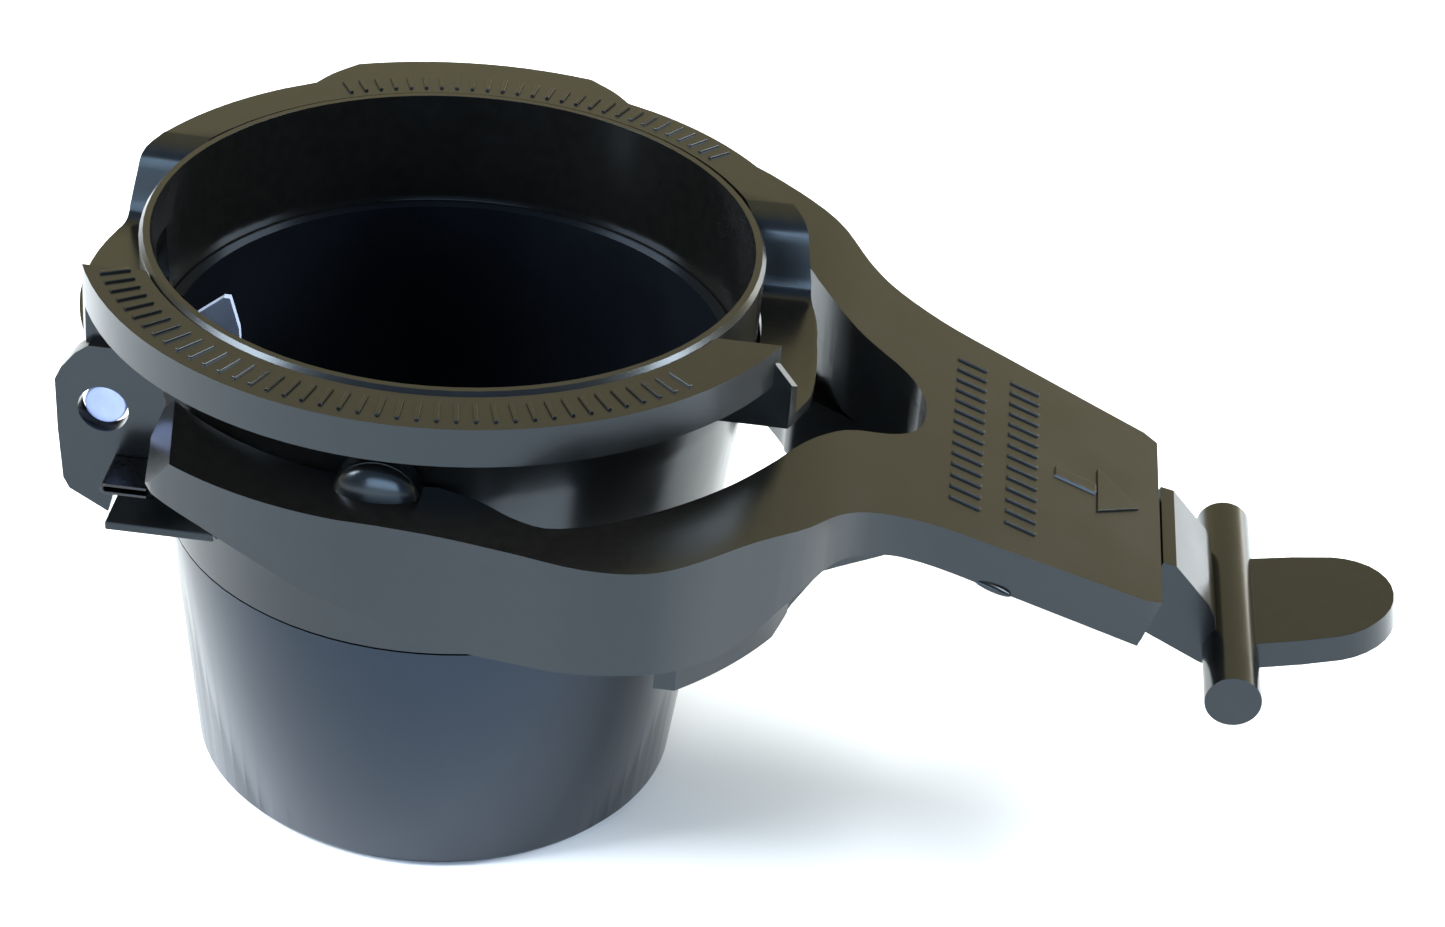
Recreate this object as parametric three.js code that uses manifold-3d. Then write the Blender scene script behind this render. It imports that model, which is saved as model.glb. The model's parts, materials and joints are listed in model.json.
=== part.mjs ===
// A hand-held throat cutter: a tapered plastic throat with a saddle-shaped grip collar, a swinging yoke
// lever with a flat handle, a sliding finger tail, and a pointed blade on a side bracket.
// Millimetres, +Z up. The throat stands on z = 0 and the handle points along +X.

import * as THREE from 'three';
import { mergeVertices } from 'three/addons/utils/BufferGeometryUtils.js';
import Module from 'manifold-3d';

const wasm = await Module();
wasm.setup();

// Driving dimensions
const THROAT_X = -46.4;          // throat axis, so that the whole object is centred on x = 0
const HEIGHT = 90.6;             // throat rim above the base
const GAP = 0.3;                 // clearance between touching pieces
const FINE = 80;                 // segments of the large round pieces
const COARSE = 16;               // segments of the small round pieces

// Throat
const BASE_R = 38.2;             // outside radius at the base
const TAPER = 0.105;             // outside radius gained per millimetre of height
const SEAM_Z = 43.4;             // visible joint between lower tube and throat ring
const LEDGE_Z = 72;              // top of the lower tube, a step inside the throat
const RIM_R = 45;                // inside radius at the top
const SHELL = 1.4;               // wall of the throat ring below the ledge
const WINDOW = { low: 54, high: 84, half: 3.2 };

// Grip collar
const COLLAR = { inner: 46.9, front: 55.4, back: 53.6, lobe: 58.3, top: 90.2, plate: 2.2, skirt: 6 };
const SADDLE = { front: 79.2, back: 77.7, thick: 1.7, legY: -22, riseY: 12.5 };
const FLANK = { r: 58, flare: 0.3 };  // handle-side edge: outer limit, and widening per millimetre down
const CHEEK = { y: 22.5, thick: 3, holeR: 3.8 };
const FLOOR = { top: 53.4, thick: 1.4, left: -45.5, right: -28.8, front: 33 };

// Blade and its pin
const PIN = { x: -47.3, z: 68.1, headR: 3.15, r: 2.2 };
const BARREL_R = 3.6;            // hub of the blade carrier
const LEAF = { left: -45, right: -39, z: 59.6, bend: 0.9, thick: 0.5, front: 33.6 };
const COIL = { r: 4.2, wire: 0.3, turns: 4, pitch: 0.8, y: 15.3 };
const BLADE = { thick: 1.2, tipX: -34.5, tipZ: 74.7 };

// Yoke lever
const PIVOT = { x: -2.2, z: 74.8, r: 2.5 };
const ARM = { top: 76, inner: 48, outer: 59, knuckle: 6.3, knuckleY: 51 };
const KEYHOLE_R = 59.8;          // inside radius of the yoke next to the keyhole
const SKIRT = { from: 38, low: 44.6, handleLow: 52, step: 57, r: 56.8, wall: 4.6 };
const BEND_X = 60;               // where the arms' top turns down into the handle
const BEND_Z = 73.6;
const SLOPE = THREE.MathUtils.degToRad(20.6);
const HANDLE = { length: 54.2, thick: 7.8, skin: 2.2, cover: 1.8 };

// Finger tail
const BAR = { x: 123.6, z: 39.5, r: 4.3, half: 24.5 };
const TAIL_HALF = 10.8;
const TAB = { tip: 148.3, half: 12, thick: 4.5, rise: THREE.MathUtils.degToRad(12), x: 122, top: 40.7 };

// Solids: three.js shapes turned into closed manifolds

function solidOf(geometry, matrix) {
  const bare = geometry.clone();
  bare.deleteAttribute('normal');
  bare.deleteAttribute('uv');
  if (matrix) bare.applyMatrix4(matrix);
  const merged = mergeVertices(bare, 1e-4);
  const index = merged.index.array;
  const kept = [];
  for (let i = 0; i < index.length; i += 3) {
    const [a, b, c] = [index[i], index[i + 1], index[i + 2]];
    if (a !== b && b !== c && c !== a) kept.push(a, b, c);
  }
  const mesh = new wasm.Mesh({
    numProp: 3,
    vertProperties: new Float32Array(merged.attributes.position.array),
    triVerts: new Uint32Array(kept),
  });
  return new wasm.Manifold(mesh);
}

function geometryOf(solid) {
  const { vertProperties, triVerts, numProp } = solid.getMesh();
  const positions = new Float32Array((vertProperties.length / numProp) * 3);
  for (let i = 0; i < positions.length / 3; i += 1) {
    for (let k = 0; k < 3; k += 1) positions[3 * i + k] = vertProperties[numProp * i + k];
  }
  const geometry = new THREE.BufferGeometry();
  geometry.setAttribute('position', new THREE.BufferAttribute(positions, 3));
  geometry.setIndex(new THREE.BufferAttribute(new Uint32Array(triVerts), 1));
  geometry.computeVertexNormals();
  return geometry;
}

function shapeOf(points) {
  return new THREE.Shape(points.map(([x, y]) => new THREE.Vector2(x, y)));
}

// Prism of an outline in X and Y, between two heights.
function prism(outline, low, high) {
  const shape = outline.isShape ? outline : shapeOf(outline);
  const geometry = new THREE.ExtrudeGeometry(shape, { depth: high - low, bevelEnabled: false });
  geometry.translate(0, 0, low);
  return solidOf(geometry);
}

// Prism of an outline in X and Z, between two places along Y.
function sidePrism(outline, from, to) {
  const geometry = new THREE.ExtrudeGeometry(shapeOf(outline), { depth: to - from, bevelEnabled: false });
  geometry.rotateX(Math.PI / 2);
  geometry.translate(0, to, 0);
  return solidOf(geometry);
}

// Prism of an outline in Y and Z, between two places along X.
function endPrism(outline, from, to) {
  const geometry = new THREE.ExtrudeGeometry(shapeOf(outline), { depth: to - from, bevelEnabled: false });
  geometry.rotateX(Math.PI / 2);
  geometry.rotateZ(Math.PI / 2);
  geometry.translate(from, 0, 0);
  return solidOf(geometry);
}

function box(x0, x1, y0, y1, z0, z1) {
  const geometry = new THREE.BoxGeometry(x1 - x0, y1 - y0, z1 - z0);
  geometry.translate((x0 + x1) / 2, (y0 + y1) / 2, (z0 + z1) / 2);
  return solidOf(geometry);
}

// Round rod along Y.
function rodY(x, z, radius, from, to, segments = COARSE) {
  const geometry = new THREE.CylinderGeometry(radius, radius, to - from, segments);
  geometry.translate(x, (from + to) / 2, 0);
  geometry.translate(0, 0, z);
  return solidOf(geometry);
}

// Round post along Z.
function post(x, y, radius, low, high, segments = COARSE) {
  const geometry = new THREE.CylinderGeometry(radius, radius, high - low, segments);
  geometry.rotateX(Math.PI / 2);
  geometry.translate(x, y, (low + high) / 2);
  return solidOf(geometry);
}

// Body of revolution about the throat axis, from a closed outline of [radius, height] points.
function turned(outline, segments = FINE) {
  const closed = [...outline, outline[0]].map(([r, z]) => new THREE.Vector2(r, z));
  const geometry = new THREE.LatheGeometry(closed, segments);
  geometry.rotateX(Math.PI / 2);
  return solidOf(geometry);
}

function disc(radius, low, high, segments = FINE) {
  return post(0, 0, radius, low, high, segments);
}

function tube(inner, outer, low, high) {
  return disc(outer, low, high).subtract(disc(inner, low - 1, high + 1));
}

function arc(radius, from, to, steps) {
  return Array.from({ length: steps + 1 }, (_, i) => {
    const angle = THREE.MathUtils.degToRad(from + ((to - from) * i) / steps);
    return [radius * Math.cos(angle), radius * Math.sin(angle)];
  });
}

function smooth(points, steps) {
  const curve = new THREE.SplineCurve(points.map(([x, y]) => new THREE.Vector2(x, y)));
  return curve.getPoints(steps).map((p) => [p.x, p.y]);
}

function mirrored(points) {
  return points.map(([x, y]) => [x, -y]).reverse();
}

function union(solids) {
  return solids.reduce((whole, next) => whole.add(next));
}

function cutAll(part, holes) {
  return holes.reduce((left, hole) => left.subtract(hole), part);
}

const outsideAt = (z) => BASE_R + TAPER * z;

// Coil spring wound about X, with flat-cut ends, starting at x = 0.
function coilSpring(length, coilR, wireR, turns) {
  const steps = turns * 9;
  const points = Array.from({ length: steps + 1 }, (_, i) => {
    const angle = (i / steps) * turns * Math.PI * 2;
    const x = wireR + (i / steps) * (length - 2 * wireR);
    return new THREE.Vector3(x, coilR * Math.cos(angle), coilR * Math.sin(angle));
  });
  const path = new THREE.CatmullRomCurve3(points);
  const section = new THREE.Shape(arc(wireR, 0, 300, 5).map(([x, y]) => new THREE.Vector2(x, y)));
  const geometry = new THREE.ExtrudeGeometry(section, { steps, extrudePath: path, bevelEnabled: false });
  return solidOf(geometry);
}

// Materials

function plastic(colour = 0x16171a, roughness = 0.42) {
  return new THREE.MeshStandardMaterial({ color: colour, roughness, metalness: 0 });
}

function steel(colour = 0xc4c8cc) {
  return new THREE.MeshStandardMaterial({ color: colour, roughness: 0.32, metalness: 1 });
}

// Throat

// Slot for the blade, and a shallow relief for the hub that it turns on
function bladeWindow() {
  const slot = box(-50, -36, -WINDOW.half, WINDOW.half, WINDOW.low, WINDOW.high);
  const hub = rodY(PIN.x, PIN.z, BARREL_R + 0.4, -CHEEK.y, CHEEK.y, 28);
  return slot.add(hub).add(rodY(PIN.x, PIN.z, COIL.r + 0.6, COIL.y - 0.6, CHEEK.y, 28));
}

function studHole(side) {
  const [from, to] = side < 0 ? [-53, -45.1] : [45.1, 53];
  return rodY(PIVOT.x, PIVOT.z, PIVOT.r + GAP, from, to);
}

function lowerTube() {
  const shoulder = outsideAt(SEAM_Z);
  const spigot = shoulder - SHELL - GAP;
  const spigotTop = outsideAt(LEDGE_Z) - SHELL - GAP;
  const wall = turned([
    [36.2, 0], [BASE_R - 1, 0], [BASE_R, 1.2], [shoulder, SEAM_Z], [spigot, SEAM_Z],
    [spigotTop, LEDGE_Z], [42.2, LEDGE_Z], [39.8, SEAM_Z],
  ]);
  return wall.subtract(bladeWindow());
}

function throatRing() {
  const low = SEAM_Z + GAP;
  const wall = turned([
    [outsideAt(low) - SHELL, low], [outsideAt(low), low], [outsideAt(LEDGE_Z), LEDGE_Z],
    [46.2, LEDGE_Z + 2], [COLLAR.inner - GAP, HEIGHT - 0.8], [COLLAR.inner - GAP - 0.6, HEIGHT],
    [RIM_R, HEIGHT], [44.3, LEDGE_Z + GAP], [outsideAt(LEDGE_Z) - SHELL, LEDGE_Z + GAP],
  ]);
  return wall.subtract(bladeWindow()).subtract(studHole(-1)).subtract(studHole(1));
}

// Grip collar: a saddle strip cut to a ring, with skirts, legs and the blade bracket's cheeks

function collarOutline(inset) {
  const front = arc(COLLAR.front - inset, 180, 360, 48);
  const side = arc(COLLAR.front - inset, 0, 16, 4).slice(1);
  const shoulder = (angle, way) => {
    const base = arc(COLLAR.back - inset, angle, angle, 1)[0];
    const top = arc(COLLAR.lobe - inset, angle + way * 9, angle + way * 9, 1)[0];
    const mid = arc((COLLAR.back + COLLAR.lobe) / 2 - inset, angle + way * 4, angle + way * 4, 1)[0];
    return way > 0 ? smooth([base, mid, top], 6) : smooth([top, mid, base], 6);
  };
  const right = arc(COLLAR.back - inset, 24, 63, 14);
  const lobe = arc(COLLAR.lobe - inset, 78, 114, 14);
  const left = arc(COLLAR.back - inset, 130, 156, 10);
  const leftSide = arc(COLLAR.front - inset, 164, 180, 4).slice(0, -1);
  return [
    ...front, ...side, ...right, ...shoulder(68, 1), ...lobe, ...shoulder(124, -1), ...left, ...leftSide,
  ];
}

// Side view of the saddle in Y and Z: high front, low middle, high back behind an S-shaped rise.
function saddleOutline() {
  const { top, plate } = COLLAR;
  const { front, back, thick, legY, riseY } = SADDLE;
  const riseTop = smooth([
    [riseY, back], [riseY + 2.2, back + 1.1], [riseY + 3.8, 84.4], [riseY + 5.2, top - 1.6],
    [riseY + 8.8, top],
  ], 14);
  const riseUnder = smooth([
    [riseY + 11.2, top - plate], [riseY + 8, 86.2], [riseY + 6.4, 82], [riseY + 4, back - 0.7],
    [riseY - 0.6, back - thick],
  ], 14);
  return [
    [-62, top - plate], [legY - thick, top - plate], [legY - thick, front - thick],
    [riseY - 0.6, back - thick],
    ...riseUnder.reverse().slice(1), [62, top - plate], [62, top],
    ...riseTop.reverse(), [legY, front], [legY, top], [-62, top],
  ];
}

function collarSkirt() {
  const { inner, top, skirt } = COLLAR;
  const low = top - skirt;
  const wall = 2.2;
  const hollow = prism(collarOutline(wall), low - 1, top + 1);
  const outer = prism(collarOutline(0), low, top - 0.1).subtract(hollow);
  const hub = tube(inner, inner + 1.7, low, top - 0.1);
  const front = box(-70, 70, -70, SADDLE.legY - 0.01, low - 1, top);
  const back = box(-70, 70, SADDLE.riseY + 8.5, 70, low - 1, top);
  return outer.add(hub).intersect(front.add(back));
}

// Wider part of the strip below the collar's top, on the handle side: its outer edge and the flared leg
function collarFlank() {
  const edge = smooth([
    [53, -25.4], [54.6, -22], [55.6, -16], [55.9, -10], [55.7, -3], [55, 4], [53.9, 10], [52.8, 15],
    [51.4, 19],
  ], 24);
  const low = SADDLE.back - SADDLE.thick - 1;
  const topX = Math.sqrt(COLLAR.front ** 2 - SADDLE.legY ** 2);
  const lowX = topX + FLANK.flare * (COLLAR.top - low);
  const high = COLLAR.top - COLLAR.plate;
  const limit = sidePrism([
    [40, low], [lowX + 2, low], [lowX + 2, SADDLE.front], [topX - 0.6, high], [40, high],
  ], -26, 20);
  const whole = prism([[40, -26], ...edge, [40, 19]], low, high);
  return whole.intersect(limit).intersect(disc(FLANK.r, low, high));
}

// Space round the throat that the collar's legs and cheeks and the bracket's floor keep clear of
function throatClearance() {
  const low = 40;
  const high = HEIGHT + 1;
  return turned([
    [0, low], [outsideAt(low) + GAP, low], [outsideAt(LEDGE_Z) + GAP, LEDGE_Z], [COLLAR.inner, LEDGE_Z + 3],
    [COLLAR.inner, high], [0, high],
  ]);
}

function cheekOutline(top) {
  return [
    [-36, top], [-47.8, top], [-47.8, Math.min(top, 80.5)], [-49.3, Math.min(top, 79)], [-51.3, 77.2],
    [-53.5, 74.4], [-54.4, 72.4], [-54.2, 64], [-53.6, 55.4], [-52.7, 53.6], [-46.9, 50.2],
    [FLOOR.left - 0.5, FLOOR.top + GAP], [-36, FLOOR.top + GAP],
  ];
}

function cheek(from, to, top, holeR) {
  const hole = rodY(PIN.x, PIN.z, holeR, from - 1, to + 1, 28);
  return sidePrism(cheekOutline(top), from, to).subtract(throatClearance()).subtract(hole);
}

function gripCollar() {
  const plan = prism(collarOutline(0), 60, HEIGHT).add(collarFlank());
  const strip = endPrism(saddleOutline(), -62, 62).intersect(plan);
  const bore = disc(COLLAR.inner, 50, HEIGHT + 1);
  const { y, thick } = CHEEK;
  return union([
    strip.add(collarSkirt()).subtract(bore),
    cheek(-y - thick, -y, SADDLE.front - 0.5, CHEEK.holeR),
    cheek(y - thick, y, COLLAR.top - 3, PIN.r + GAP),
  ]);
}

// Floor plate that closes the bracket from below
function bracketFloor() {
  const farEnd = CHEEK.y - CHEEK.thick - GAP;
  const { left, right, front, top, thick } = FLOOR;
  return box(left, right, -front, farEnd, top - thick, top).subtract(throatClearance());
}

// Blade group

// Pin along Y with a wide head in the near cheek and a clip groove past the far cheek
function bladePin() {
  const headEnd = -CHEEK.y + 0.3;
  const head = rodY(PIN.x, PIN.z, PIN.headR, -CHEEK.y - 1.6, headEnd, 28);
  const grooveY = CHEEK.y + GAP;
  const groove = rodY(PIN.x, PIN.z, PIN.r + 1, grooveY, grooveY + 1, 28)
    .subtract(rodY(PIN.x, PIN.z, PIN.r - 0.8, grooveY - 1, grooveY + 2, 28));
  return head.add(rodY(PIN.x, PIN.z, PIN.r, headEnd - 0.2, grooveY + 2, 28)).subtract(groove);
}

// Open ring that snaps into the pin's groove
function retainingClip() {
  const y = CHEEK.y + GAP + 0.25;
  const inside = rodY(PIN.x, PIN.z, PIN.r - 0.5, y - 1, y + 2, 28);
  const mouth = box(PIN.x - 8, PIN.x, y - 1, y + 2, PIN.z - 1.4, PIN.z + 1.4);
  return rodY(PIN.x, PIN.z, 4.4, y, y + 0.5, 28).subtract(inside).subtract(mouth);
}

// Hub on the pin, with a shallow cheek that backs the blade
function bladeCarrier() {
  const half = CHEEK.y - CHEEK.thick - GAP;
  const barrel = rodY(PIN.x, PIN.z, BARREL_R, -half, half, 28);
  const backing = sidePrism([
    [PIN.x - 4, PIN.z - 4.4], [-40, PIN.z - 2.6], [-40, PIN.z + 2], [PIN.x - 4, PIN.z + 4.4],
  ], 0.9, 1.8);
  const bore = rodY(PIN.x, PIN.z, PIN.r + GAP, -half - 1, half + 1, 28);
  const slot = rodY(PIN.x, PIN.z, 6, -0.9, 0.9, 28).subtract(rodY(PIN.x, PIN.z, 3.4, -2, 2, 28));
  const rivets = rivetPlaces().map(([x, z]) => rodY(x, z, 0.8, -3, 6));
  return cutAll(barrel.add(backing), [slot, bore, ...rivets]);
}

function rivetPlaces() {
  return [[-42.3, 66.6], [-41.7, 69.3]];
}

function cutterBlade() {
  const half = BLADE.thick / 2;
  const outline = [
    [PIN.x, PIN.z - 6], [-41.5, 61.6], [-32.4, 65.8], [-32.6, 69.5], [BLADE.tipX + 0.5, BLADE.tipZ],
    [BLADE.tipX - 0.5, BLADE.tipZ], [-39.5, 71], [PIN.x, PIN.z + 6],
  ];
  const plate = sidePrism(outline, -half, half).add(rodY(PIN.x, PIN.z, 6, -half, half, 28));
  const rivets = rivetPlaces().map(([x, z]) => rodY(x, z, 0.8, -3, 3));
  return cutAll(plate, [rodY(PIN.x, PIN.z, 3.7, -2, 2, 28), ...rivets]);
}

function bladeRivet([x, z]) {
  return union([rodY(x, z, 0.55, -1.2, 2.7), rodY(x, z, 1.1, -1.5, -0.9), rodY(x, z, 1.1, 2.1, 2.7)]);
}

// Torsion spring round the hub: a coil about Y with two straight legs
function torsionSpring() {
  const { r: coilR, y: start, wire: wireR, turns, pitch } = COIL;
  const steps = turns * 14;
  const coil = Array.from({ length: steps + 1 }, (_, i) => {
    const angle = (i / steps) * turns * Math.PI * 2 - Math.PI / 2;
    const y = start + (i / steps) * turns * pitch;
    return new THREE.Vector3(coilR * Math.cos(angle), y, coilR * Math.sin(angle));
  });
  const first = new THREE.Vector3(-4.6, start, -coilR);
  const last = new THREE.Vector3(-5, start + turns * pitch, -coilR);
  const path = new THREE.CatmullRomCurve3([first, ...coil, last]);
  const section = new THREE.Shape(arc(wireR, 0, 300, 5).map(([x, y]) => new THREE.Vector2(x, y)));
  const sweep = { steps: steps + 6, extrudePath: path, bevelEnabled: false };
  const geometry = new THREE.ExtrudeGeometry(section, sweep);
  geometry.translate(PIN.x, 0, PIN.z);
  return solidOf(geometry);
}

// Hairpin leaf beside the near cheek, under the end of the lever's arm
function leafSpring() {
  const { left, right, z, bend, thick, front } = LEAF;
  const fold = arc(bend, 90, 270, 8).map(([x, y]) => [left + x, z + y]);
  const inner = arc(bend - thick, 270, 90, 6).map(([x, y]) => [left + x, z + y]);
  const outline = [
    ...fold, [right, z - bend], [right, z - bend + thick],
    ...inner, [right, z + bend - thick], [right, z + bend],
  ];
  return sidePrism(outline, -front, -CHEEK.y - CHEEK.thick - GAP);
}

// Yoke lever

// Half of the yoke's outer edge, from the left end of the arm round to the end of the handle.
function yokeOuterHalf() {
  const ring = arc(ARM.outer, 126, 96, 12);
  const flare = smooth([
    [-1, 58.9], [8, 59.8], [18, 61.6], [28, 63.6], [36, 63], [42, 59.8], [50, 52.4], [57, 45.4],
    [62, 37.6], [67, 33], [75, 29.5], [84, 27.8],
  ], 40);
  const end = [[108.5, 24], [110.8, 22.6], [112, 12], [112, -0.5]];
  return [[-38.5, 36], [-37.6, 43.5], ...ring, ...flare, ...end];
}

// Half of the inner edge, from the keyhole's closed end back to the left end of the arm.
function yokeInnerHalf() {
  const keyhole = smooth([[73.2, -0.5], [72.3, 5], [69, 9.6], [62, 14.4], [57.4, 20], [54, 25.6]], 16);
  const wide = arc(KEYHOLE_R, 27, 62, 12);
  const step = smooth([[27.5, 53.1], [22, 54.6], [17, 53], [12, 49.8], [6, 47.7]], 12);
  const ring = arc(ARM.inner, 84, 140, 18);
  return [...keyhole, ...wide, ...step.slice(1), ...ring];
}

function yokePlan() {
  const upper = [...yokeInnerHalf(), ...yokeOuterHalf()];
  const lower = mirrored(upper);
  return { upper, lower };
}

// Offsets an open run of points to its right-hand side.
function grown(points, distance) {
  return points.map(([x, y], i) => {
    const [ax, ay] = points[Math.max(i - 1, 0)];
    const [bx, by] = points[Math.min(i + 1, points.length - 1)];
    const length = Math.hypot(bx - ax, by - ay);
    return [x + ((by - ay) / length) * distance, y - ((bx - ax) / length) * distance];
  });
}

// Half of the keyhole's edge, from its closed end out to its mouth
function keyholeCurve() {
  return [[73.2, 0.3], [72.3, 5], [69, 9.6], [62, 14.4]];
}

// Deep skirt under the yoke, from one side of the throat round the keyhole to the other. Its lower part
// stands nearer to the throat than the upper part, and it is shallower under the handle.
function yokeSkirt() {
  const { from, low, handleLow, step, r, wall } = SKIRT;
  const band = (mouth, bottom, top) => {
    const half = [...smooth([...keyholeCurve(), ...mouth.slice(0, -1)], 20), mouth.at(-1)];
    const inner = [...mirrored(half), ...half];
    const outer = [...grown(mirrored(half), wall), ...grown(half, wall)];
    const opening = prism([[30, -half.at(-1)[1]], ...inner, [30, half.at(-1)[1]]], bottom - 1, top + 1);
    return prism([[30, outer[0][1]], ...outer, [30, outer.at(-1)[1]]], bottom, top).subtract(opening);
  };
  const lowerMouth = arc(r, 22, 48, 10);
  const upperMouth = [[57.4, 20], [54, 25.6], ...arc(KEYHOLE_R, 30, 50, 6)];
  const depth = sidePrism([
    [from, low], [54, low], [60, handleLow], [90, handleLow], [90, ARM.top - 8], [from, ARM.top - 8],
  ], -60, 60);
  return band(lowerMouth, low, step).add(band(upperMouth, step - 0.5, ARM.top - 10)).intersect(depth);
}

// Wedge that bevels the outer corner of an arm's free end
function armEndBevel(way) {
  const geometry = new THREE.BoxGeometry(20, 40, 40);
  geometry.translate(-10, 0, 0);
  const outward = new THREE.Vector3(-0.85, 0.16 * way, 0.5).normalize();
  const turn = new THREE.Quaternion().setFromUnitVectors(new THREE.Vector3(-1, 0, 0), outward);
  const place = new THREE.Matrix4().makeRotationFromQuaternion(turn).setPosition(-33.1, 41.6 * way, ARM.top);
  return solidOf(geometry, place);
}

// Side view of the yoke in X and Z
function yokeSide() {
  const endTop = [BEND_X + HANDLE.length * Math.cos(SLOPE), BEND_Z - HANDLE.length * Math.sin(SLOPE)];
  const endLow = [endTop[0] - HANDLE.thick * Math.sin(SLOPE), endTop[1] - HANDLE.thick * Math.cos(SLOPE)];
  const under = smooth([
    [71, 62.6], [68, 63.5], [63, 64.6], [59, 64.3], [55, 62.3], [50, 59], [45, 58.3], [36, 59.1], [28, 58.6],
    [22, 58], [11, 57.6], [5, 58.1], [0, 59.9], [-6, 61.8], [-12, 63.5], [-18, 65.8], [-26, 68], [-34, 69.2],
    [-37.5, 70],
  ], 48);
  const top = smooth([
    [-37, ARM.top], [20, ARM.top], [44, ARM.top], [52, ARM.top - 0.3], [58, 74.4], [66, 71.3],
  ], 14);
  const armEnd = [[-40, 70.6], [-40, 74.4], [-38, ARM.top]];
  return [...top.filter(([x]) => x > -36.9), endTop, endLow, ...under, ...armEnd];
}

// Matrix of the handle's own frame: x down the slope from the bend, z square to its top
function handleFrame() {
  return new THREE.Matrix4().makeRotationY(SLOPE).setPosition(BEND_X, 0, BEND_Z);
}

function inHandle(geometry) {
  return solidOf(geometry, handleFrame());
}

function handleBox(x0, x1, y0, y1, z0, z1) {
  const geometry = new THREE.BoxGeometry(x1 - x0, y1 - y0, z1 - z0);
  geometry.translate((x0 + x1) / 2, (y0 + y1) / 2, (z0 + z1) / 2);
  return inHandle(geometry);
}

function handlePost(x, y, radius, low, high) {
  const geometry = new THREE.CylinderGeometry(radius, radius, high - low, COARSE);
  geometry.rotateX(Math.PI / 2);
  geometry.translate(x, y, (low + high) / 2);
  return inHandle(geometry);
}

const SCREWS = [[25, 17], [25, -17], [47, 15], [47, -15]];
const POCKET = { from: 20, to: 51, half: 21, endHalf: 19 };
const RIB = { x: 42.2, thick: 1.8 };
const TONGUE = { top: -2.6, low: -5.4, head: 20.6, half: 9, stem: 3.6, wide: 45 };

function pocketOutline(inset) {
  const { from, to, half, endHalf } = POCKET;
  const side = [[from + inset, -half + inset], [to - inset, -endHalf + inset]];
  return [...side, ...mirrored(side)];
}

function pocketPrism(inset, low, high) {
  const shape = shapeOf(pocketOutline(inset));
  const geometry = new THREE.ExtrudeGeometry(shape, { depth: high - low, bevelEnabled: false });
  geometry.translate(0, 0, low);
  return inHandle(geometry);
}

function yokeLever() {
  const { upper, lower } = yokePlan();
  const plan = union([prism(upper, 40, 90), prism(lower, 40, 90)]);
  const side = sidePrism(yokeSide(), -70, 70);
  const knuckles = union([-1, 1].map((way) => knuckle(way)));
  const mouth = handleBox(
    POCKET.to - 1, HANDLE.length + 2, -TAIL_HALF, TAIL_HALF, TONGUE.low - GAP, TONGUE.top + GAP,
  );
  const pocket = pocketPrism(0, -HANDLE.thick - 2, -HANDLE.skin).add(mouth);
  const coverTop = -HANDLE.thick + HANDLE.cover + GAP;
  const ribs = union([-1, 1].map((way) => {
    const [from, to] = way < 0 ? [-10, -TONGUE.stem - GAP] : [TONGUE.stem + GAP, 10];
    return handleBox(RIB.x, RIB.x + RIB.thick, from, to, coverTop, -HANDLE.skin + 0.2);
  }));
  const bosses = union(SCREWS.map(([x, y]) => handlePost(x, y, 2.6, coverTop, -HANDLE.skin + 0.2)));
  const screwHoles = SCREWS.map(([x, y]) => handlePost(x, y, 1.1, -HANDLE.thick, -2.9));
  const body = plan.intersect(side).add(yokeSkirt()).add(knuckles).subtract(pocket).add(ribs).add(bosses);
  return cutAll(body, [...screwHoles, studSocket(-1), studSocket(1), armEndBevel(-1), armEndBevel(1)]);
}

function knuckle(way) {
  const [from, to] = way < 0 ? [-ARM.knuckleY, -46] : [46, ARM.knuckleY];
  return rodY(PIVOT.x, PIVOT.z, ARM.knuckle, from, to, 36).subtract(disc(ARM.inner, 50, 90));
}

function studSocket(way) {
  const [from, to] = way < 0 ? [-ARM.knuckleY + 0.6, -40] : [40, ARM.knuckleY - 0.6];
  return rodY(PIVOT.x, PIVOT.z, PIVOT.r + 0.1, from, to);
}

function pivotStud(way) {
  const [from, to] = way < 0 ? [-ARM.knuckleY + 1, -45.4] : [45.4, ARM.knuckleY - 1];
  return rodY(PIVOT.x, PIVOT.z, PIVOT.r, from, to);
}

function pivotWasher(way) {
  const [from, to] = way < 0 ? [-47.3, -46.6] : [46.6, 47.3];
  const hole = rodY(PIVOT.x, PIVOT.z, PIVOT.r + GAP, from - 1, to + 1);
  return rodY(PIVOT.x, PIVOT.z, 4.6, from, to, 28).subtract(hole);
}

function handleCover() {
  const plate = pocketPrism(GAP, -HANDLE.thick, -HANDLE.thick + HANDLE.cover);
  const under = -HANDLE.thick - 1;
  return cutAll(plate, SCREWS.flatMap(([x, y]) => [
    handlePost(x, y, 1.5, under, 0), handlePost(x, y, 2.8, under, -HANDLE.thick + 0.9),
  ]));
}

function coverScrew([x, y]) {
  const top = -HANDLE.thick + 0.9 - 0.05;
  const head = handlePost(x, y, 2.3, -HANDLE.thick + 0.1, top);
  const slot = handleBox(x - 3, x + 3, y - 0.3, y + 0.3, -HANDLE.thick - 1, -HANDLE.thick + 0.5);
  return head.add(handlePost(x, y, 0.95, top - 0.1, -3.2)).subtract(slot);
}

// Finger tail: a tongue in the handle, a ramped neck, a cross bar and a round-ended thumb tab
function fingerTail() {
  const { top, low, head, half, stem, wide } = TONGUE;
  const tongue = union([
    handleBox(head, head + 2.4, -half, half, low, top),
    handleBox(head + 1, wide + 1, -stem, stem, low, top),
    handleBox(wide, HANDLE.length + 1.5, -TAIL_HALF + GAP, TAIL_HALF - GAP, low, top),
  ]);
  return union([tongue, tailNeck(), rodY(BAR.x, BAR.z, BAR.r, -BAR.half, BAR.half, 32), thumbTab()]);
}

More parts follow.
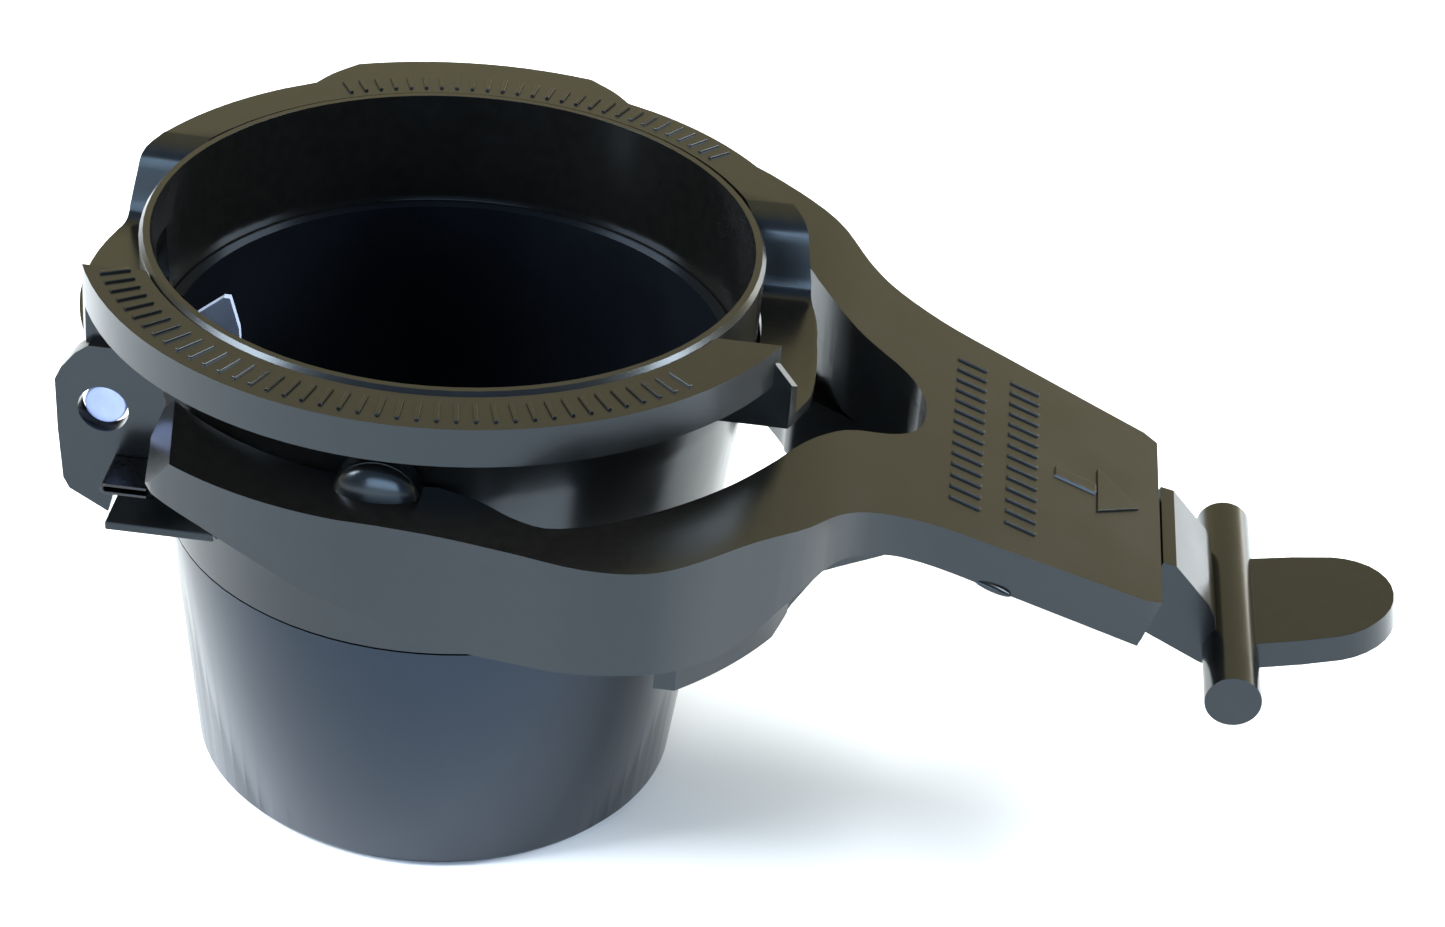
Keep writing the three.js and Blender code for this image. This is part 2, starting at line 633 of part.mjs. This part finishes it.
function tailNeck() {
  const start = BEND_X + (HANDLE.length + 0.5) * Math.cos(SLOPE);
  const startZ = BEND_Z - (HANDLE.length + 0.5) * Math.sin(SLOPE);
  const ramp = [[113.3, 53.4], [119.3, 47], [120.3, 45.4], [120.8, 43]];
  const outline = [
    [start, startZ - 0.5], ...ramp, [BAR.x, BAR.z], [BAR.x - 1.5, BAR.z - 4], [119, 36.6], [109.2, 41.4],
    [start - 3.6, startZ - 10.2],
  ];
  return sidePrism(outline, -TAIL_HALF, TAIL_HALF);
}

function thumbTab() {
  const { tip, half, thick, rise, x, top } = TAB;
  const length = (tip - x) / Math.cos(rise);
  const corner = arc(half - 0.8, -78, 78, 14).map(([u, v]) => [length - half + 0.8 + u, v]);
  const neck = length - half - 3;
  const outline = [[0, -half], [neck, -half + 0.4], ...corner, [neck, half - 0.4], [0, half]];
  const geometry = new THREE.ExtrudeGeometry(shapeOf(outline), { depth: thick, bevelEnabled: false });
  geometry.translate(0, 0, -thick);
  const place = new THREE.Matrix4().makeRotationY(-rise).setPosition(x, 0, top);
  return solidOf(geometry, place);
}

function tailSpring(way) {
  const from = TONGUE.head + 2.4 + GAP;
  const length = RIB.x - GAP - from;
  const spring = coilSpring(length, 0.95, 0.25, 9);
  const middle = (TONGUE.top + TONGUE.low) / 2;
  const shift = new THREE.Matrix4().makeTranslation(from, way * 6.6, middle);
  return solidOf(geometryOf(spring), handleFrame().multiply(shift));
}

// Scene

const cutter = new THREE.Group();
cutter.position.set(THROAT_X, 0, 0);

function place(name, solid, material) {
  const mesh = new THREE.Mesh(geometryOf(solid), material);
  mesh.name = name;
  cutter.add(mesh);
}

place('lower_tube', lowerTube(), plastic(0x1b1d22));
place('throat_ring', throatRing(), plastic());
place('grip_collar', gripCollar(), plastic());
place('bracket_floor', bracketFloor(), plastic(0x101114));
place('blade_pin', bladePin(), steel(0xd2d4d8));
place('pin_clip', retainingClip(), steel(0x8d9196));
place('blade_carrier', bladeCarrier(), plastic(0x101114));
place('cutter_blade', cutterBlade(), steel());
rivetPlaces().forEach((spot, i) => place(`blade_rivet_${i + 1}`, bladeRivet(spot), steel(0x9a9ea4)));
place('blade_spring', torsionSpring(), steel(0x8d9196));
place('leaf_spring', leafSpring(), steel(0x2a2c30));
place('yoke_lever', yokeLever(), plastic());
for (const [side, way] of [['near', -1], ['far', 1]]) {
  place(`pivot_stud_${side}`, pivotStud(way), steel(0x9a9ea4));
  place(`pivot_washer_${side}`, pivotWasher(way), plastic(0x202226, 0.5));
  place(`tail_spring_${side}`, tailSpring(way), steel(0x8d9196));
}
place('handle_cover', handleCover(), plastic(0x141518));
SCREWS.forEach((spot, i) => place(`cover_screw_${i + 1}`, coverScrew(spot), steel(0x9a9ea4)));
place('finger_tail', fingerTail(), plastic());

const root = new THREE.Group();
root.add(cutter);

export default root;
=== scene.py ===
"""Looks of a hand-held throat cutter: black moulded plastic, a pale steel blade and pin, on a white table."""
import json
import math

import bmesh
import bpy
from mathutils import Matrix, Vector


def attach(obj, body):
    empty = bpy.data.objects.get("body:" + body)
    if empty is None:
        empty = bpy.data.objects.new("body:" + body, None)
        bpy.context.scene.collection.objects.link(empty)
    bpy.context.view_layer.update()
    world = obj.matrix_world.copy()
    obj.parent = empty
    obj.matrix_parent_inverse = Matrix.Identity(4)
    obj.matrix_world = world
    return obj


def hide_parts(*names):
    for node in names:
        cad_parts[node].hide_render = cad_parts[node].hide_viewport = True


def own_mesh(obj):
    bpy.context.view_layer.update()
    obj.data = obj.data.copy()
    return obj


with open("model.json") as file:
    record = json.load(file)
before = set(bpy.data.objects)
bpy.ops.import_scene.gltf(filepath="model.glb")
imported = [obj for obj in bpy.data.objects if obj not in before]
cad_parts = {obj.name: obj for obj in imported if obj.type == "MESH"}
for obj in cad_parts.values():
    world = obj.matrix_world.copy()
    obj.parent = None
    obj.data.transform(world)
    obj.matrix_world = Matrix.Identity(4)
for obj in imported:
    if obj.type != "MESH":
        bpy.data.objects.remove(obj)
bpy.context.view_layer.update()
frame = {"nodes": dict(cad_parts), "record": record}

MM = 0.001
NODES = frame["nodes"]
BODY_OF = {node: body for body, members in frame["record"]["behaviour"]["bodies"].items() for node in members}
SLOT_OF = {entry["node"]: entry["material_slot"] for entry in frame["record"]["subparts"]}

# Places on the object, in mm, in the row frame.
THROAT = Vector((-46.4, 0, 0))
COLLAR_TOP = 90.2
KNUCKLE = Vector((-48.6, 0, 74.8))
KNUCKLE_END = 50.7
HANDLE_ORIGIN = Vector((13.6, 0, 73.6))
HANDLE_SLOPE = math.radians(20.6)


# Materials

NOISE_LOW, NOISE_HIGH = 0.3, 0.7      # where nearly all of a noise texture's values lie
COLOUR_LOW, COLOUR_HIGH = 0.35, 0.65


class Surface:
    """A Principled material, with short calls for the nodes that every finish here shares.

    sheen is the colour of the reflection seen face on, ior its strength.
    """

    def __init__(self, name, colour, roughness, metallic=0.0, ior=1.5, sheen=(1, 1, 1)):
        self.material = bpy.data.materials.new(name)
        self.material.use_nodes = True
        self.tree = self.material.node_tree
        self.shader = self.tree.nodes["Principled BSDF"]
        self.shader.inputs["Base Color"].default_value = (*colour, 1)
        self.shader.inputs["Roughness"].default_value = roughness
        self.shader.inputs["Metallic"].default_value = metallic
        self.shader.inputs["IOR"].default_value = ior
        self.shader.inputs["Specular Tint"].default_value = (*sheen, 1)
        self.place = self.node("ShaderNodeTexCoord").outputs["Object"]

    def node(self, kind, **values):
        made = self.tree.nodes.new(kind)
        for key, value in values.items():
            made.inputs[key].default_value = value
        return made

    def link(self, source, target):
        self.tree.links.new(source, target)

    def noise(self, per_metre, detail=3.0, stretch=(1, 1, 1)):
        mapping = self.node("ShaderNodeMapping")
        mapping.inputs["Scale"].default_value = stretch
        self.link(self.place, mapping.inputs["Vector"])
        texture = self.node("ShaderNodeTexNoise", Scale=per_metre, Detail=detail)
        self.link(mapping.outputs["Vector"], texture.inputs["Vector"])
        return texture.outputs["Fac"]

    def spread(self, source, low, high):
        """Stretches the middle of a noise to run from low to high."""
        mapped = self.node("ShaderNodeMapRange")
        mapped.inputs["From Min"].default_value = NOISE_LOW
        mapped.inputs["From Max"].default_value = NOISE_HIGH
        mapped.inputs["To Min"].default_value = low
        mapped.inputs["To Max"].default_value = high
        self.link(source, mapped.inputs["Value"])
        return mapped.outputs["Result"]

    def vary_colour(self, source, dark, light):
        ramp = self.node("ShaderNodeValToRGB")
        low, high = ramp.color_ramp.elements
        low.position, high.position = COLOUR_LOW, COLOUR_HIGH
        low.color, high.color = (*dark, 1), (*light, 1)
        self.link(source, ramp.inputs["Fac"])
        self.link(ramp.outputs["Color"], self.shader.inputs["Base Color"])

    def vary_roughness(self, source, low, high):
        self.link(self.spread(source, low, high), self.shader.inputs["Roughness"])

    def bump(self, source, height_mm, strength=1.0, after=None):
        bump = self.node("ShaderNodeBump", Strength=strength, Distance=height_mm * MM)
        self.link(source, bump.inputs["Height"])
        if after:
            self.link(after.outputs["Normal"], bump.inputs["Normal"])
        self.link(bump.outputs["Normal"], self.shader.inputs["Normal"])
        return bump


def scaled(colour, factor):
    return [channel * factor for channel in colour]


def moulded_plastic(name, colour, rough, ior):
    """Black moulding: faint cloudy tone, uneven gloss and a fine orange-peel grain."""
    wave_mm, grain_mm = 0.012, 0.0072
    surface = Surface(name, colour, rough, ior=ior, sheen=(0.72, 0.87, 1.0))
    cloud = surface.noise(90, 4)
    surface.vary_colour(surface.noise(500, 2), scaled(colour, 0.88), scaled(colour, 1.15))
    surface.vary_roughness(cloud, rough - 0.03, rough + 0.04)
    coarse = surface.bump(surface.noise(260, 2), wave_mm, 0.3)
    surface.bump(surface.noise(2600, 2), grain_mm, 0.5, coarse)
    return surface.material


def flow_marked_plastic(name, colour, rough, ior):
    """Smooth tube moulding, with faint upright flow marks from the mould."""
    wave_mm, grain_mm = 0.012, 0.008
    upright_gloss, upright_wave = (1, 1, 0.12), (1, 1, 0.1)
    surface = Surface(name, colour, rough, ior=ior, sheen=(0.42, 0.66, 1.0))
    surface.vary_colour(surface.noise(60, 3), scaled(colour, 0.85), scaled(colour, 1.2))
    surface.vary_roughness(surface.noise(140, 3, upright_gloss), rough - 0.05, rough + 0.07)
    coarse = surface.bump(surface.noise(260, 2, upright_wave), wave_mm, 0.4)
    surface.bump(surface.noise(2400, 2), grain_mm, 0.35, coarse)
    return surface.material


def ground_steel(name, colour, rough, grain=(1, 1, 1), metallic=1.0):
    """Steel with a fine grain, drawn out into lines by grain. A dull, pale face is less metallic."""
    grain_mm = 0.004
    surface = Surface(name, colour, rough, metallic)
    lines = surface.noise(900, 3, grain)
    surface.vary_colour(surface.noise(300, 3), scaled(colour, 0.86), colour)
    surface.vary_roughness(lines, rough - 0.07, rough + 0.1)
    surface.bump(lines, grain_mm, 0.5)
    return surface.material


def table_surface():
    surface = Surface("table_white", (0.86, 0.90, 0.94), 0.75)
    surface.vary_roughness(surface.noise(40, 2), 0.7, 0.8)
    return surface.material


GRINDING_LINES = (1, 1, 14)
MATERIALS = {
    "black_plastic": moulded_plastic("black_plastic", (0.0032, 0.0032, 0.0030), rough=0.22, ior=1.43),
    "tube_plastic": flow_marked_plastic("tube_plastic", (0.0028, 0.0036, 0.0052), rough=0.17, ior=1.40),
    "inner_plastic": moulded_plastic("inner_plastic", (0.0025, 0.0025, 0.0025), rough=0.38, ior=1.4),
    "blade_steel": ground_steel("blade_steel", (0.36, 0.44, 0.60), 0.62, GRINDING_LINES, metallic=0.0),
    "pin_steel": ground_steel("pin_steel", (0.30, 0.36, 0.58), 0.5, metallic=0.2),
    "dull_steel": ground_steel("dull_steel", (0.42, 0.43, 0.45), 0.38),
    "dark_steel": ground_steel("dark_steel", (0.035, 0.036, 0.04), 0.3),
}


# Pieces

WELD_MM = 0.002
FLAT_DEGREES = 0.6        # faces nearer to flat than this are joined
SHARP_DEGREES = 38        # edges sharper than this stay sharp in the shading
ROLLED_DEGREES = 34       # edges sharper than this are rolled


def link_piece(name, mesh, node):
    """Puts a mesh into the scene as a piece that rides with the CAD node's body and takes its finish."""
    piece = bpy.data.objects.new(name, mesh)
    bpy.context.scene.collection.objects.link(piece)
    mesh.materials.clear()
    mesh.materials.append(MATERIALS[SLOT_OF[node]])
    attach(piece, BODY_OF[node])
    return piece


def clean_copy(node):
    """The CAD node's mesh with its seams welded and its flat triangles joined into whole faces."""
    mesh = bpy.data.meshes.new(node + "_mesh")
    work = bmesh.new()
    work.from_mesh(NODES[node].data)
    bmesh.ops.remove_doubles(work, verts=work.verts, dist=WELD_MM * MM)
    bmesh.ops.dissolve_limit(work, angle_limit=math.radians(FLAT_DEGREES), verts=work.verts, edges=work.edges)
    work.to_mesh(mesh)
    work.free()
    for name in ("custom_normal", "UVMap"):
        if name in mesh.attributes:
            mesh.attributes.remove(mesh.attributes[name])
    return mesh


def shade_smooth(mesh):
    mesh.polygons.foreach_set("use_smooth", [True] * len(mesh.polygons))
    mesh.set_sharp_from_angle(angle=math.radians(SHARP_DEGREES))


def rounded(node, edge_mm):
    """A detailed stand-in for a CAD node, with its edges rolled."""
    mesh = clean_copy(node)
    shade_smooth(mesh)
    piece = link_piece(node + "_look", mesh, node)
    bevel = piece.modifiers.new("rolled_edges", "BEVEL")
    bevel.width = edge_mm * MM
    bevel.segments = 3
    bevel.limit_method = "ANGLE"
    bevel.angle_limit = math.radians(ROLLED_DEGREES)
    bevel.harden_normals = True
    bevel.miter_outer = "MITER_ARC"
    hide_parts(node)


# How far each node's edges are rolled, in mm.
EDGES = {
    "lower_tube": 0.35, "throat_ring": 0.3, "grip_collar": 0.7, "bracket_floor": 0.3, "blade_pin": 0.35,
    "pin_clip": 0.1, "blade_carrier": 0.2, "cutter_blade": 0.12, "blade_rivet_1": 0.15, "blade_rivet_2": 0.15,
    "blade_spring": 0.05, "leaf_spring": 0.15, "yoke_lever": 1.0,
    "pivot_stud_near": 0.2, "pivot_stud_far": 0.2, "pivot_washer_near": 0.15, "pivot_washer_far": 0.15,
    "tail_spring_near": 0.03, "tail_spring_far": 0.03, "handle_cover": 0.25,
    "cover_screw_1": 0.15, "cover_screw_2": 0.15, "cover_screw_3": 0.15, "cover_screw_4": 0.15,
    "finger_tail": 0.8,
}
for node_name, width in EDGES.items():
    rounded(node_name, width)


def squash_tail_springs():
    """Gives each of the two springs in the handle a mesh of its own."""
    for side in ("near", "far"):
        spring = bpy.data.objects["tail_spring_" + side + "_look"]
        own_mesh(spring)


squash_tail_springs()


# Raised details on the mouldings. Sizes are in mm and angles in degrees.

SINK = 0.3             # how far a detail's foot is sunk into its moulding
BLOCK_TAPER = 0.82
SMOOTH_EDGE = 0.02     # edge roll of a detail that is round already


def close_prism(work, low, high):
    """The faces of a prism, from its low and its high ring of corners."""
    work.faces.new(high)
    work.faces.new(low[::-1])
    for i in range(len(low)):
        j = (i + 1) % len(low)
        work.faces.new((low[i], low[j], high[j], high[i]))


def add_block(work, frame_matrix, size):
    """Adds a low block, narrower at its top, that stands on the frame's own x-y plane."""
    length, width, height = size
    corners = []
    for level, scale in ((-SINK, 1.0), (height, BLOCK_TAPER)):
        for x, y in ((-1, -1), (1, -1), (1, 1), (-1, 1)):
            inset = (1 - scale) * width / 2
            place = Vector((x * (length / 2 - inset), y * (width / 2 - inset), level))
            corners.append(work.verts.new((frame_matrix @ place) * MM))
    close_prism(work, corners[:4], corners[4:])


def place_ball(work, frame_matrix, radii):
    """Turns the unit ball in work into an ellipsoid in the frame."""
    shape = Matrix.Scale(MM, 4) @ frame_matrix @ Matrix.Diagonal((*radii, 1))
    bmesh.ops.transform(work, matrix=shape, verts=work.verts)


def finish_detail(name, work, node, edge_mm=0.12):
    """Makes the piece from its mesh data, with its edges a little rolled."""
    mesh = bpy.data.meshes.new(name + "_mesh")
    work.to_mesh(mesh)
    work.free()
    shade_smooth(mesh)
    piece = link_piece(name, mesh, node)
    bevel = piece.modifiers.new("soft_edges", "BEVEL")
    bevel.width = edge_mm * MM
    bevel.segments = 2
    bevel.harden_normals = True


def collar_ribs(name, first, last, radius, length):
    """Short radial ribs along an arc of the collar's top."""
    step, width, height = 2.9, 0.75, 0.34
    work = bmesh.new()
    for i in range(int((last - first) / step) + 1):
        turn = math.radians(first + i * step)
        centre = THROAT + Vector((radius * math.cos(turn), radius * math.sin(turn), COLLAR_TOP))
        place = Matrix.Translation(centre) @ Matrix.Rotation(turn, 4, "Z")
        add_block(work, place, (length, width, height))
    finish_detail(name, work, "grip_collar")


def handle_place(along, across, above=0.0):
    """A frame on the handle's sloping top, with x along the handle and z out of it."""
    top = Matrix.Translation(HANDLE_ORIGIN) @ Matrix.Rotation(HANDLE_SLOPE, 4, "Y")
    return top @ Matrix.Translation((along, across, above))


def handle_bars(name, along, first, last):
    """A row of short bars across the handle, square to its edges."""
    step, length, width, height = 3.1, 5.2, 0.8, 0.32
    work = bmesh.new()
    for i in range(int((last - first) / step) + 1):
        add_block(work, handle_place(along, first + i * step), (length, width, height))
    finish_detail(name, work, "yoke_lever")


def handle_arrow():
    """A plain raised arrow that points to the tail."""
    height, shaft, shaft_width = 0.35, 7.5, 3.0
    shaft_middle, head_from, tip, head_half = 39.5, 43.25, 50.5, 6.0
    work = bmesh.new()
    add_block(work, handle_place(shaft_middle, 0), (shaft, shaft_width, height))
    head = ((head_from, -head_half), (tip, 0), (head_from, head_half))
    low, high = (
        [work.verts.new((handle_place(0, 0) @ Vector((x, y, level))) * MM) for x, y in head]
        for level in (-SINK, height)
    )
    close_prism(work, low, high)
    finish_detail("handle_arrow", work, "yoke_lever")


def knuckle_dome(name, way):
    """The rounded outer end of the knuckle on one arm. way is -1 on the near side and 1 on the far side."""
    radius, bulge = 6.15, 2.8
    work = bmesh.new()
    bmesh.ops.create_uvsphere(work, u_segments=48, v_segments=24, radius=1)
    for vert in work.verts:
        vert.co.y = way * max(0, way * vert.co.y)
    place = Matrix.Translation(KNUCKLE + Vector((0, way * KNUCKLE_END, 0)))
    place_ball(work, place, (radius, bulge, radius))
    finish_detail(name, work, "yoke_lever", SMOOTH_EDGE)


def gate_mark():
    """The small trimmed lump on the near lower edge of the handle, where the plastic was fed in."""
    along, across, below = 29.5, -27.55, -6.7
    work = bmesh.new()
    bmesh.ops.create_uvsphere(work, u_segments=20, v_segments=12, radius=1)
    place_ball(work, handle_place(along, across, below), (3.2, 0.8, 0.7))
    finish_detail("gate_mark", work, "yoke_lever", SMOOTH_EDGE)


collar_ribs("collar_ribs_front", first=207, last=318, radius=51.2, length=4.6)
collar_ribs("collar_ribs_back", first=44, last=121, radius=50.3, length=4.0)
handle_bars("handle_bars_1", along=21.2, first=-20, last=22)
handle_bars("handle_bars_2", along=30.4, first=-20, last=21)
handle_arrow()
knuckle_dome("knuckle_dome_near", -1)
knuckle_dome("knuckle_dome_far", 1)
gate_mark()


# Stage, lights and camera. Places and sizes are in metres.

LIGHT_TARGET = Vector((0, 0, 0.05))


def add_floor():
    size, just_below = 9.0, -0.0002
    bpy.ops.mesh.primitive_plane_add(size=size, location=(0, 0.6, just_below))
    floor = bpy.context.object
    floor.name = "table"
    floor.data.materials.append(table_surface())


def add_light(name, place, size, watts, colour):
    """A soft rectangular light that faces the object."""
    light = bpy.data.lights.new(name, "AREA")
    light.shape = "RECTANGLE"
    light.size, light.size_y = size
    light.energy = watts
    light.color = colour
    lamp = bpy.data.objects.new(name, light)
    lamp.location = place
    lamp.rotation_euler = (LIGHT_TARGET - Vector(place)).to_track_quat("-Z", "Y").to_euler()
    bpy.context.scene.collection.objects.link(lamp)


def add_world():
    """A dim room: warm behind and above the object, cool in front of it."""
    cool, warm, strength = (0.42, 0.56, 0.80), (1.15, 0.98, 0.55), 0.85
    cool_until, warm_from = -0.6, 0.3      # the Y part of the direction looked in
    world = bpy.data.worlds.new("room")
    world.use_nodes = True
    tree = world.node_tree
    direction = tree.nodes.new("ShaderNodeTexCoord").outputs["Generated"]
    split = tree.nodes.new("ShaderNodeSeparateXYZ")
    ramp = tree.nodes.new("ShaderNodeValToRGB")
    spread = tree.nodes.new("ShaderNodeMapRange")
    spread.inputs["From Min"].default_value = cool_until
    spread.inputs["From Max"].default_value = warm_from
    ramp.color_ramp.elements[0].color = (*cool, 1)
    ramp.color_ramp.elements[1].color = (*warm, 1)
    tree.links.new(direction, split.inputs["Vector"])
    tree.links.new(split.outputs["Y"], spread.inputs["Value"])
    tree.links.new(spread.outputs["Result"], ramp.inputs["Fac"])
    background = tree.nodes["Background"]
    tree.links.new(ramp.outputs["Color"], background.inputs["Color"])
    background.inputs["Strength"].default_value = strength
    bpy.context.scene.world = world
    bpy.context.scene.view_settings.view_transform = "Standard"


def add_camera():
    """Looks down at the object from the near side, a little right of its middle and slightly tilted."""
    azimuth, elevation, roll = (math.radians(angle) for angle in (-2.57, 32.3, 5.4))
    target, distance = Vector((-0.0042, 0.0163, 0.045)), 0.5262
    flat = math.cos(elevation)
    away = Vector((flat * math.sin(azimuth), flat * math.cos(azimuth), -math.sin(elevation)))
    level = away.cross(Vector((0, 0, 1))).normalized()
    upright = level.cross(away)
    right = level * math.cos(roll) + upright * math.sin(roll)
    up = upright * math.cos(roll) - level * math.sin(roll)
    turn = Matrix((right, up, -away)).transposed()
    data = bpy.data.cameras.new("camera")
    data.sensor_width = 36
    data.lens = 81.8
    camera = bpy.data.objects.new("camera", data)
    camera.matrix_world = Matrix.Translation(target - away * distance) @ turn.to_4x4()
    bpy.context.scene.collection.objects.link(camera)
    bpy.context.scene.camera = camera


add_floor()
add_world()
add_light("left", (-1.15, -0.3, 1.0), (0.8, 0.8), 56, (0.94, 0.97, 1.0))
add_light("right", (1.2, 0.25, 1.0), (0.8, 0.8), 50, (0.96, 0.98, 1.0))
add_light("front", (0.1, -1.3, 0.34), (1.2, 0.45), 15, (0.66, 0.82, 1.0))
add_light("rim", (0.9, 1.45, 0.16), (0.8, 0.3), 3.2, (1.0, 0.98, 0.92))
add_camera()
